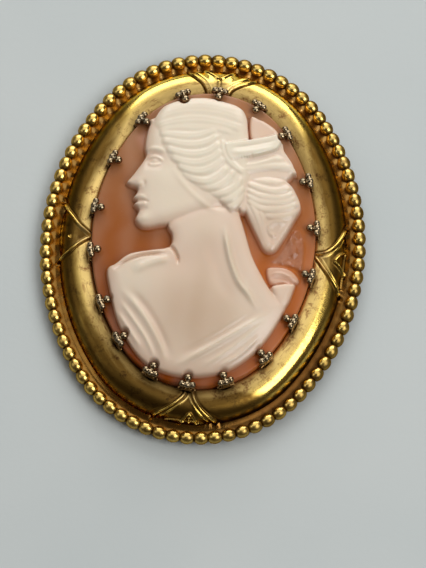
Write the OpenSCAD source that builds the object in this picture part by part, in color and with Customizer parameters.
// Oval cameo pendant: a hollow stamped band with a beaded wire round it, a claw setting,
// a carved shell cameo and a plain tube bail behind the top.
// It lies on its back: +Z out of the face, +Y to the top of the pendant, millimetres.

/* [Overall] */
// Height over the beaded wire, top to bottom
frame_h = 44.5; // [40:0.5:50]
// Width over the beaded wire, side to side
frame_w = 35.2; // [32:0.2:39]

/* [Beaded wire] */
// Diameter of one bead
bead_d = 1.42; // [1.2:0.02:1.6]
// Least space between two beads along the wire
bead_gap = 0.055; // [0.03:0.005:0.2]
// Diameter of the neck between two beads
bead_neck_d = 0.8; // [0.6:0.05:1]
// Height of the beads' centres over the back
bead_z = 1.2; // [1.1:0.05:1.5]

/* [Band] */
// Thickness of the sheet metal
wall = 0.5; // [0.4:0.02:0.6]
// Width of the flat channel between the beads and the dome
channel_w = 0.68; // [0.5:0.02:0.9]
// Depth of the channel's floor below the beads' centres
channel_drop = 0.05; // [0:0.01:0.2]
// Rise of the dome over the channel, which is also the width of its outer curve
dome_rise = 2.05; // [1.9:0.05:2.3]
// Width of the dome from its crest to the opening
dome_lip_w = 1.4; // [1.2:0.05:1.6]
// Radius of the dome between its crest and the opening
dome_lip_r = 4.2; // [3:0.1:6]
// Thickness of the rim that stands on the surface
foot_w = 0.55; // [0.4:0.05:0.7]
// Distance of that rim from the outside of the beads
foot_inset = 1.05; // [0.9:0.05:1.2]

/* [Ornaments] */
// Half width of a fluted panel at the opening
panel_tip = 0.55; // [0.3:0.05:0.8]
// Half width of a fluted panel at the channel
panel_foot = 3.6; // [2.8:0.1:4.2]
// Radius of a panel's flared sides
panel_flare_r = 6.3; // [5:0.1:9]
// Depth of a panel below the dome
panel_sink = 0.2; // [0.1:0.01:0.28]
// Width of the rib along each side of a panel
rib_w = 0.24; // [0.16:0.02:0.36]
// Height of a rib over the dome
rib_h = 0.14; // [0.06:0.01:0.25]
// Width of the groove outside each rib
groove_w = 0.2; // [0.1:0.02:0.3]
// Distance of the small chevron's point from the opening
chevron_from = 2.25; // [1.9:0.05:2.5]
// Half width of the small chevron
chevron_half = 1.3; // [0.9:0.05:1.7]
// Drop of the chevron's ends towards the channel
chevron_drop = 0.85; // [0.5:0.05:1]

/* [Claw setting] */
// Radius of the ball that rests on the cameo
claw_tip_r = 0.42; // [0.34:0.02:0.5]
// Radius of the two balls beside it
claw_side_r = 0.3; // [0.24:0.02:0.36]
// Distance of each side ball from the claw's middle
claw_side = 0.7; // [0.6:0.02:0.8]
// Reach of the tip ball in from the opening
claw_reach = 0.78; // [0.65:0.02:0.95]
// Height of the claws' balls over the cameo's edge
claw_lift = 0.76; // [0.72:0.02:1]
// Radius of the claws' wire
claw_wire_r = 0.19; // [0.14:0.01:0.24]
// Half width of the flat foot that each claw shows over the band's edge
claw_foot = 0.95; // [0.8:0.05:1.1]
// Height of that foot
claw_foot_h = 0.35; // [0.25:0.05:0.4]
// Radius of the scallop in the band that each claw comes up through
scallop_r = 1.25; // [1.15:0.05:1.4]
// Depth of that scallop
scallop_depth = 0.56; // [0.5:0.02:0.62]
// Thickness of the setting's wall
setting_wall = 0.32; // [0.26:0.02:0.4]
// Width of the ledge that the cameo lies on
ledge_w = 0.9; // [0.6:0.05:1.4]
// Thickness of that ledge
ledge_t = 0.35; // [0.3:0.05:0.45]
// Height of the ledge's underside over the back
ledge_z = 1.1; // [0.9:0.05:1.2]

/* [Cameo] */
// Thickness of the cameo at its edge
cameo_edge_t = 2.4; // [2:0.05:2.6]
// Rise of the cameo's ground from its edge to its middle
ground_rise = 1.1; // [0.8:0.05:1.5]
// Depth of the hollow in the cameo's back
back_hollow = 0.9; // [0.5:0.05:1.2]
// Height of the carved figure over the ground
figure_rise = 1.5; // [1:0.05:1.8]
// Width of the figure's sloping edge
figure_edge = 0.75; // [0.5:0.05:1.1]
// Distance between two waves of the hair
wave_pitch = 1.35; // [1.1:0.05:1.8]
// Depth of the waves of the hair
wave_depth = 0.3; // [0.1:0.02:0.45]

/* [Bail] */
// Outer diameter of the tube behind the top
bail_d = 1.8; // [1.6:0.05:1.9]
// Diameter of its bore
bail_bore_d = 1.1; // [0.9:0.05:1.2]
// Length of the tube
bail_l = 4; // [3:0.25:4.5]

/* [Fits] */
// Gap between pieces that seat on each other
fit_gap = 0.08; // [0.05:0.01:0.12]

/* [Hidden] */
$fn = 96;

// Heights over the back
channel_z = bead_z - channel_drop;
crest_z = channel_z + dome_rise;
lip_centre_z = crest_z - dome_lip_r;
cameo_back_z = ledge_z + ledge_t + fit_gap / 2;
cameo_edge_z = cameo_back_z + cameo_edge_t;
claw_z = cameo_edge_z + claw_lift;
claw_foot_z = crest_z + rib_h;
above = crest_z + 3;

// Distances in from the outside of the beads
dome_inset = bead_d + channel_w;
crest_inset = dome_inset + dome_rise;
opening_inset = crest_inset + dome_lip_w;
cameo_inset = opening_inset + fit_gap;

// The oval is drawn with two end arcs and two side arcs that meet smoothly
oval_step = (frame_h - frame_w) / 4;
end_r = frame_w / 2 - oval_step;
end_centre = 3 * oval_step;
side_r = end_r + 5 * oval_step;
side_centre = 4 * oval_step;
join_angle = atan2(3, 4);

// Length of a quarter of the oval that runs a given distance inside the outside one
function side_run(inset) = (side_r - inset) * join_angle * PI / 180;
function quarter_run(inset) = side_run(inset) + (end_r - inset) * (90 - join_angle) * PI / 180;

// Direction out of the oval after a run of its first quarter
function quarter_turn(inset, run) = run <= side_run(inset)
    ? run / (side_r - inset) * 180 / PI
    : join_angle + (run - side_run(inset)) / (end_r - inset) * 180 / PI;

// Place on the first quarter of the oval in a given direction
function quarter_place(inset, turn) = turn <= join_angle
    ? [(side_r - inset) * cos(turn) - side_centre, (side_r - inset) * sin(turn)]
    : [(end_r - inset) * cos(turn), (end_r - inset) * sin(turn) + end_centre];

// Place and outward direction after a run round the oval from its right-hand side: [x, y, direction]
function oval_spot(inset, run) =
    let (
        quarter = quarter_run(inset),
        k = floor(run / quarter) % 4,
        part = run - floor(run / quarter) * quarter,
        turn = quarter_turn(inset, k % 2 == 0 ? part : quarter - part),
        place = quarter_place(inset, turn),
        flip_x = (k == 1 || k == 2) ? -1 : 1,
        flip_y = k >= 2 ? -1 : 1
    )
    [flip_x * place[0], flip_y * place[1], atan2(flip_y * sin(turn), flip_x * cos(turn))];

// Sweeps a section round the oval; the section's x is 0 at the outside of the beads and negative inwards
module oval_sweep() {
    for (across = [0, 1], up = [0, 1])
        mirror([across, 0, 0])
            mirror([0, up, 0]) {
                translate([-side_centre, 0, 0])
                    rotate_extrude(angle = join_angle)
                        translate([side_r, 0])
                            children();
                translate([0, end_centre, 0])
                    rotate_extrude(angle = 90 - join_angle, start = join_angle)
                        translate([end_r, 0])
                            children();
            }
}

// Places of the claws, as shares of the way round the opening, clockwise from the top
CLAW_PLACES = [
    0.005, 0.055, 0.105, 0.17, 0.23, 0.29, 0.35, 0.405, 0.46,
    0.505, 0.55, 0.605, 0.655, 0.72, 0.775, 0.84, 0.9, 0.96,
];

// Puts a copy on each of some places round the oval, with +X outwards
module round_the_oval(inset, places) {
    for (place = places) {
        spot = oval_spot(inset, quarter_run(inset) * (5 - 4 * place));
        translate([spot[0], spot[1], 0])
            rotate(spot[2])
                children();
    }
}

// Section of all that lies under the dome, grown or shrunk by a distance
module dome_section(grow) {
    intersection() {
        translate([-crest_inset, channel_z])
            circle(dome_rise + grow);
        translate([-crest_inset, channel_z])
            square(2 * dome_rise);
    }
    translate([-crest_inset, channel_z - wall])
        square([dome_rise + grow, wall + 0.001]);
    intersection() {
        translate([-crest_inset, lip_centre_z])
            circle(dome_lip_r + grow);
        translate([-opening_inset, channel_z - wall])
            square([dome_lip_w + 0.001, 2 * dome_rise]);
    }
}

// Section of the hollow inside the sheet metal, open at the back and at the opening
module hollow_section() {
    intersection() {
        translate([-crest_inset, channel_z])
            circle(dome_rise - wall);
        translate([-crest_inset, channel_z])
            square(2 * dome_rise);
    }
    translate([-crest_inset, channel_z - 2 * wall])
        square([dome_rise - wall, 2 * wall + 0.001]);
    intersection() {
        translate([-crest_inset, lip_centre_z])
            circle(dome_lip_r - wall);
        translate([-opening_inset - 1, channel_z - 2 * wall])
            square([dome_lip_w + 1.001, 2 * dome_rise]);
    }
}

// Section of the band: dome, channel, rim and the wire that carries the beads
module band_section() {
    difference() {
        dome_section(0);
        hollow_section();
    }
    translate([-dome_inset - wall, channel_z - wall])
        square([dome_inset + wall - bead_d / 2, wall]);
    translate([-foot_inset - foot_w, 0])
        square([foot_w, channel_z - wall / 2]);
    translate([-bead_d / 2, bead_z])
        circle(d = bead_neck_d);
}

// Centre of a panel's flared side, from the middle of the panel's tip
panel_l = opening_inset - dome_inset;
flare_chord = norm([panel_foot - panel_tip, panel_l]);
flare_reach = sqrt(pow(panel_flare_r, 2) - pow(flare_chord / 2, 2));
flare_x = (panel_foot + panel_tip) / 2 + panel_l / flare_chord * flare_reach;
flare_y = panel_l / 2 - (panel_foot - panel_tip) / flare_chord * flare_reach;

// The two circles that bound a panel, grown by a distance
module flare_circles(grow) {
    for (side = [-1, 1])
        translate([side * flare_x, flare_y])
            circle(panel_flare_r + grow);
}

// Outline of a panel with its grooves; +Y outwards from the middle of its tip
module panel_outline() {
    difference() {
        translate([-panel_foot - rib_w, -1])
            square([2 * (panel_foot + rib_w), panel_l + 1]);
        flare_circles(-rib_w / 2 - groove_w);
    }
}

// Outline of the ribs: one along each side and the small chevron
module rib_outline() {
    intersection() {
        difference() {
            flare_circles(rib_w / 2);
            flare_circles(-rib_w / 2);
        }
        translate([-panel_foot - rib_w, 0])
            square([2 * (panel_foot + rib_w), panel_l]);
    }
    for (side = [-1, 1])
        polygon([
            [0, chevron_from - rib_w / 2],
            [side * chevron_half, chevron_from + chevron_drop - rib_w / 2],
            [side * chevron_half, chevron_from + chevron_drop + rib_w / 2],
            [0, chevron_from + rib_w / 2],
        ]);
}

// Puts a copy at the middle of each side of the opening, with +Y outwards
module at_quarters() {
    for (k = [0:3]) {
        spot = oval_spot(opening_inset, k * quarter_run(opening_inset));
        translate([spot[0], spot[1], 0])
            rotate(k * 90 - 90)
                children();
    }
}

// The space inside the foot of the dome, which keeps the panels off the channel
module inside_dome_foot() {
    oval_sweep()
        translate([-opening_inset - 1, channel_z])
            square([opening_inset + 1 - dome_inset, above]);
}

module frame() {
    bead_count = floor(4 * quarter_run(bead_d / 2) / (bead_d + bead_gap));
    color("goldenrod")
    difference() {
        union() {
            difference() {
                oval_sweep()
                    band_section();
                difference() {
                    intersection() {
                        at_quarters()
                            translate([0, 0, channel_z])
                                linear_extrude(above)
                                    panel_outline();
                        inside_dome_foot();
                    }
                    oval_sweep()
                        dome_section(-panel_sink);
                }
            }
            intersection() {
                at_quarters()
                    translate([0, 0, channel_z - wall / 2])
                        linear_extrude(above)
                            rib_outline();
                oval_sweep()
                    difference() {
                        dome_section(rib_h);
                        dome_section(-(panel_sink + wall) / 2);
                    }
            }
            round_the_oval(bead_d / 2, [for (i = [0:bead_count - 1]) i / bead_count])
                translate([0, 0, bead_z])
                    sphere(d = bead_d);
        }
        round_the_oval(opening_inset, CLAW_PLACES)
            translate([-scallop_r + scallop_depth, 0, channel_z + wall])
                cylinder(r = scallop_r, h = above);
    }
}

// Height of the underside of the band's edge over the setting's wall
lip_under_z = lip_centre_z + sqrt(pow(dome_lip_r - wall, 2) - pow(dome_lip_w, 2));

// One claw on its post, with +X outwards from the opening's edge
module claw() {
    translate([0, -claw_side_r, ledge_z + ledge_t])
        cube([setting_wall, 2 * claw_side_r, claw_z - ledge_z - ledge_t]);
    translate([0, -claw_foot, claw_foot_z])
        cube([setting_wall, 2 * claw_foot, claw_foot_h]);
    translate([0, 0, claw_z]) {
        translate([-claw_reach, 0, 0])
            sphere(claw_tip_r);
        for (side = [-1, 1])
            translate([0, side * claw_side, 0])
                sphere(claw_side_r);
        translate([-claw_reach, 0, 0])
            rotate([0, 90, 0])
                cylinder(r = claw_wire_r, h = claw_reach + setting_wall / 2);
        translate([0, -claw_side, 0])
            rotate([-90, 0, 0])
                cylinder(r = claw_wire_r, h = 2 * claw_side);
    }
}

module claw_setting() {
    color("darkgoldenrod") {
        oval_sweep() {
            translate([-opening_inset, ledge_z])
                square([setting_wall, lip_under_z - fit_gap - ledge_z]);
            translate([-cameo_inset - ledge_w, ledge_z])
                square([ledge_w + fit_gap + setting_wall / 2, ledge_t]);
        }
        round_the_oval(opening_inset, CLAW_PLACES)
            claw();
    }
}

// Half width and half height of the cameo
cameo_half_w = frame_w / 2 - cameo_inset;
cameo_half_h = frame_h / 2 - cameo_inset;

// Carved masses. Columns: across and up, as shares of the cameo's half width and half height
SHOULDERS = [
    [-0.865, -0.245], [-0.785, -0.165], [-0.63, -0.125], [-0.47, -0.095], [-0.315, -0.075],
    [-0.275, -0.005], [-0.265, 0.095], [-0.05, 0.24], [0.285, 0.28], [0.355, 0.15],
    [0.405, 0.015], [0.49, -0.105], [0.57, -0.225], [0.66, -0.32], [0.75, -0.295],
    [0.865, -0.275], [0.845, -0.37], [0.775, -0.5], [0.57, -0.71], [0.335, -0.865],
    [0.04, -0.95], [-0.305, -0.94], [-0.53, -0.835], [-0.7, -0.665], [-0.805, -0.44],
];
HEAD = [
    [-0.555, 0.77], [-0.59, 0.65], [-0.595, 0.535], [-0.585, 0.485], [-0.66, 0.39],
    [-0.74, 0.31], [-0.7, 0.27], [-0.63, 0.25], [-0.655, 0.205], [-0.625, 0.175],
    [-0.64, 0.145], [-0.6, 0.1], [-0.625, 0.045], [-0.56, -0.005], [-0.415, 0.015],
    [-0.265, 0.06], [0.04, 0.13], [0.305, 0.28], [0.51, 0.585], [0.375, 0.815],
    [0, 0.915], [-0.355, 0.885],
];
HAIR = [
    [-0.58, 0.725], [-0.56, 0.805], [-0.415, 0.9], [-0.195, 0.955], [0.14, 0.945],
    [0.325, 0.91], [0.49, 0.845], [0.61, 0.775], [0.61, 0.665], [0.405, 0.43],
    [0.365, 0.23], [0.245, 0.2], [0.08, 0.27], [-0.07, 0.33], [-0.205, 0.39],
    [-0.305, 0.47], [-0.385, 0.585], [-0.445, 0.695],
];
RIBBON = [
    [0.1, 0.655], [0.255, 0.695], [0.405, 0.73], [0.59, 0.775], [0.61, 0.665],
    [0.47, 0.61], [0.305, 0.575], [0.175, 0.55],
];
LOBE = [
    [0.195, 0.565], [0.46, 0.61], [0.67, 0.595], [0.815, 0.49], [0.775, 0.43],
    [0.56, 0.42], [0.335, 0.4], [0.225, 0.46],
];
BUN = [
    [0.305, 0.4], [0.51, 0.48], [0.73, 0.47], [0.855, 0.38], [0.875, 0.25],
    [0.815, 0.095], [0.71, -0.025], [0.64, -0.055], [0.55, 0.005], [0.47, 0.105],
    [0.365, 0.2],
];
WING = [[-0.63, 0.665], [-0.74, 0.805], [-0.61, 0.855], [-0.55, 0.745]];
DRAPE = [[0.53, -0.155], [0.67, -0.145], [0.835, -0.185], [0.855, -0.285], [0.65, -0.33]];

// Raised folds of the dress and the ridges of the neck and back.
// Columns: start across, start up, end across, end up, bow to the left of the way, height share
FOLDS = [
    [-0.73, -0.39, -0.275, -0.865, 0.05, 0.16],
    [-0.67, -0.53, -0.385, -0.845, 0.04, 0.12],
    [-0.12, -0.845, 0.67, -0.48, -0.06, 0.16],
    [0.06, -0.835, 0.63, -0.56, -0.04, 0.13],
    [0.275, -0.055, 0.52, -0.47, -0.02, 0.14],
    [-0.345, 0.075, 0.205, 0.18, -0.06, 0.1],
];
fold_half_w = 0.55;
fold_steps = 6;

// Heights of the masses, as shares of the figure's rise
shoulders_share = 0.6;
head_share = 0.82;
hair_share = 0.97;
ribbon_share = 1;
lobe_share = 0.92;
bun_share = 0.88;
wing_share = 0.3;
drape_share = 0.42;

// Middle of the coil that the bun's strands run round, and the drop of the waves at the sides
coil_middle = [0.53, 0.4];
wave_sag = 0.09;

curve_steps = 3;
function curve_point(a, b, c, d, t) =
    b + (c - a) * t / 2 + (2 * a - 5 * b + 4 * c - d) * t * t / 2 + (3 * b - a - 3 * c + d) * pow(t, 3) / 2;
function sized(share) = [share[0] * cameo_half_w, share[1] * cameo_half_h];
function smooth_loop(shares) =
    let (points = [for (share = shares) sized(share)], n = len(points))
    [for (i = [0:n - 1], k = [0:curve_steps - 1])
        curve_point(points[(i + n - 1) % n], points[i], points[(i + 1) % n], points[(i + 2) % n],
            k / curve_steps)];
function bowed_line(fold) =
    let (from = sized([fold[0], fold[1]]), to = sized([fold[2], fold[3]]), way = to - from)
    [for (k = [0:fold_steps])
        let (t = k / fold_steps) from + way * t + fold[4] * 4 * t * (1 - t) * [-way[1], way[0]]];

function to_segment(p, a, b) =
    let (ab = b - a, t = max(0, min(1, (p - a) * ab / (ab * ab)))) norm(p - a - t * ab);
function crossings(p, loop, n) = len([
    for (i = [0:n - 1])
        let (a = loop[i], b = loop[(i + 1) % n])
        if ((a[1] > p[1]) != (b[1] > p[1])
            && p[0] < a[0] + (p[1] - a[1]) / (b[1] - a[1]) * (b[0] - a[0])) 1
]);
// How far inside a loop a point lies, or 0 outside it; a box is the loop's least and greatest corner
function depth_in(p, loop, box) =
    p[0] < box[0] || p[0] > box[2] || p[1] < box[1] || p[1] > box[3] ? 0
    : let (n = len(loop)) crossings(p, loop, n) % 2 == 0 ? 0
    : min([for (i = [0:n - 1]) to_segment(p, loop[i], loop[(i + 1) % n])]);
function box_of(loop) = [
    min([for (p = loop) p[0]]), min([for (p = loop) p[1]]),
    max([for (p = loop) p[0]]), max([for (p = loop) p[1]]),
];

// Columns: curve, its box, height share
MASSES = [
    for (mass = [
        [SHOULDERS, shoulders_share], [HEAD, head_share], [HAIR, hair_share], [RIBBON, ribbon_share],
        [LOBE, lobe_share], [BUN, bun_share], [WING, wing_share], [DRAPE, drape_share],
    ])
        let (loop = smooth_loop(mass[0])) [loop, box_of(loop), mass[1]]
];
hair_mass = 2;
bun_mass = 5;
FOLD_LINES = [for (fold = FOLDS) [bowed_line(fold), fold[5]]];

// Rise of a rounded edge from 0 to 1 over a width
function rounded(depth, width) = depth >= width ? 1 : sqrt(1 - pow(1 - depth / width, 2));
function eased(t) = let (s = max(0, min(1, t))) s * s * (3 - 2 * s);

function fold_height(p) = max([
    for (line = FOLD_LINES)
        let (d = min([for (k = [0:fold_steps - 1]) to_segment(p, line[0][k], line[0][k + 1])]))
        line[1] * exp(-pow(d / fold_half_w, 2))
]);
function wave_height(p, depths) =
    depths[bun_mass] > 0
        ? wave_depth * cos(360 * norm(p - sized(coil_middle)) / wave_pitch) / 2
    : depths[hair_mass] > 0
        ? wave_depth * cos(360 * (p[1] - wave_sag * p[0] * p[0]) / wave_pitch) / 2
    : 0;
// Height of the carving over the ground
function carving(p) =
    let (
        depths = [for (mass = MASSES) depth_in(p, mass[0], mass[1])],
        rise = max([for (i = [0:len(MASSES) - 1]) MASSES[i][2] * rounded(depths[i], figure_edge)])
    )
    rise == 0 ? 0
        : figure_rise * (rise + fold_height(p) * eased(depths[0] / figure_edge))
            + wave_height(p, depths) * eased(max(depths[hair_mass], depths[bun_mass]) / figure_edge);

// Distance from the middle of the cameo to its edge in a direction
function edge_reach(turn) =
    let (
        way = [abs(cos(turn)), abs(sin(turn))],
        side = [-side_centre, 0],
        end = [0, end_centre],
        to_side = way * side + sqrt(pow(way * side, 2) - side * side + pow(side_r - cameo_inset, 2)),
        to_end = way * end + sqrt(pow(way * end, 2) - end * end + pow(end_r - cameo_inset, 2)),
        side_spot = to_side * way - side
    )
    atan2(side_spot[1], side_spot[0]) <= join_angle ? to_side : to_end;

// The carving is a square net of points drawn out to the oval
net = 64;
clear_of_claws = [claw_reach + claw_tip_r, claw_reach + claw_tip_r + 1];
rim_share = 0.06;
function net_share(i, j) =
    let (u = 2 * i / net - 1, v = 2 * j / net - 1) [u * sqrt(1 - v * v / 2), v * sqrt(1 - u * u / 2)];
function on_oval(share, spread) =
    spread == 0 ? [0, 0]
        : let (stretched = sized(share), turn = atan2(stretched[1], stretched[0]))
            edge_reach(turn) * spread * [cos(turn), sin(turn)];
function face_point(i, j) =
    let (
        share = net_share(i, j),
        spread = norm(share),
        p = on_oval(share, spread),
        inward = spread == 0 ? cameo_half_w : norm(p) * (1 / spread - 1),
        kept = rim_share + (1 - rim_share)
            * eased((inward - clear_of_claws[0]) / (clear_of_claws[1] - clear_of_claws[0]))
    )
    [p[0], p[1], cameo_edge_z + ground_rise * (1 - spread * spread) + (spread > 0.999 ? 0 : kept * carving(p))];

// Net cells round the edge, anticlockwise from the lower left corner: [i, j]
RIM_CELLS = concat(
    [for (k = [0:net - 1]) [k, 0]], [for (k = [0:net - 1]) [net, k]],
    [for (k = [0:net - 1]) [net - k, net]], [for (k = [0:net - 1]) [0, net - k]]
);
// Rings of the hollow back. Columns: spread, depth share
BACK_RINGS = [[0.9, 0], [0.72, 0.46], [0.5, 0.78], [0.25, 0.96]];

module cameo() {
    rim = 4 * net;
    rim_start = (net + 1) * (net + 1);
    ring_start = rim_start + rim;
    rings = len(BACK_RINGS);
    face = [for (j = [0:net], i = [0:net]) face_point(i, j)];
    rim_top = [for (cell = RIM_CELLS) cell[1] * (net + 1) + cell[0]];
    back_rim = [for (k = rim_top) [face[k][0], face[k][1], cameo_back_z]];
    back_rings = [
        for (ring = BACK_RINGS, k = [0:net - 1])
            [for (axis = [0, 1]) face[rim_top[4 * k]][axis] * ring[0]]
    ];
    hollow = [
        for (r = [0:rings - 1], k = [0:net - 1])
            concat(back_rings[r * net + k], [cameo_back_z + back_hollow * BACK_RINGS[r][1]])
    ];
    face_cells = [
        for (j = [0:net - 1], i = [0:net - 1])
            let (a = j * (net + 1) + i, b = a + 1, c = b + net + 1, d = a + net + 1)
            each (i < net / 2) == (j < net / 2) ? [[a, d, c], [a, c, b]] : [[a, d, b], [b, d, c]]
    ];
    wall_cells = [
        for (k = [0:rim - 1])
            let (next = (k + 1) % rim) [rim_top[k], rim_top[next], rim_start + next, rim_start + k]
    ];
    first_ring = [
        for (k = [0:net - 1])
            let (
                a = ring_start + k,
                b = ring_start + (k + 1) % net,
                q = [for (step = [0:4]) rim_start + (4 * k + step) % rim]
            )
            each [[q[0], q[1], a], [q[1], q[2], a], [a, q[2], b], [q[2], q[3], b], [q[3], q[4], b]]
    ];
    inner_rings = [
        for (r = [0:rings - 2], k = [0:net - 1])
            let (
                a = ring_start + r * net + k,
                b = ring_start + r * net + (k + 1) % net
            )
            each [[a, b, b + net], [a, b + net, a + net]]
    ];
    middle = ring_start + rings * net;
    last_ring = [
        for (k = [0:net - 1])
            [middle - net + k, middle - net + (k + 1) % net, middle]
    ];
    color("peachpuff")
    polyhedron(
        points = concat(face, back_rim, hollow, [[0, 0, cameo_back_z + back_hollow]]),
        faces = concat(face_cells, wall_cells, first_ring, inner_rings, last_ring),
        convexity = 10
    );
}

// The tube lies under the dome's crest, a fit's gap off it where the oval turns away from its ends
bail_inset = crest_inset;
bail_end_off = end_r - bail_inset - sqrt(pow(end_r - bail_inset, 2) - pow(bail_l / 2, 2));
bail_z = channel_z + sqrt(pow(dome_rise - wall - fit_gap - bail_d / 2, 2) - pow(bail_end_off, 2));

module bail() {
    color("gold")
    translate([-bail_l / 2, frame_h / 2 - bail_inset, bail_z])
        rotate([0, 90, 0])
            difference() {
                cylinder(d = bail_d, h = bail_l);
                translate([0, 0, -1])
                    cylinder(d = bail_bore_d, h = bail_l + 2);
            }
}

frame();
claw_setting();
cameo();
bail();
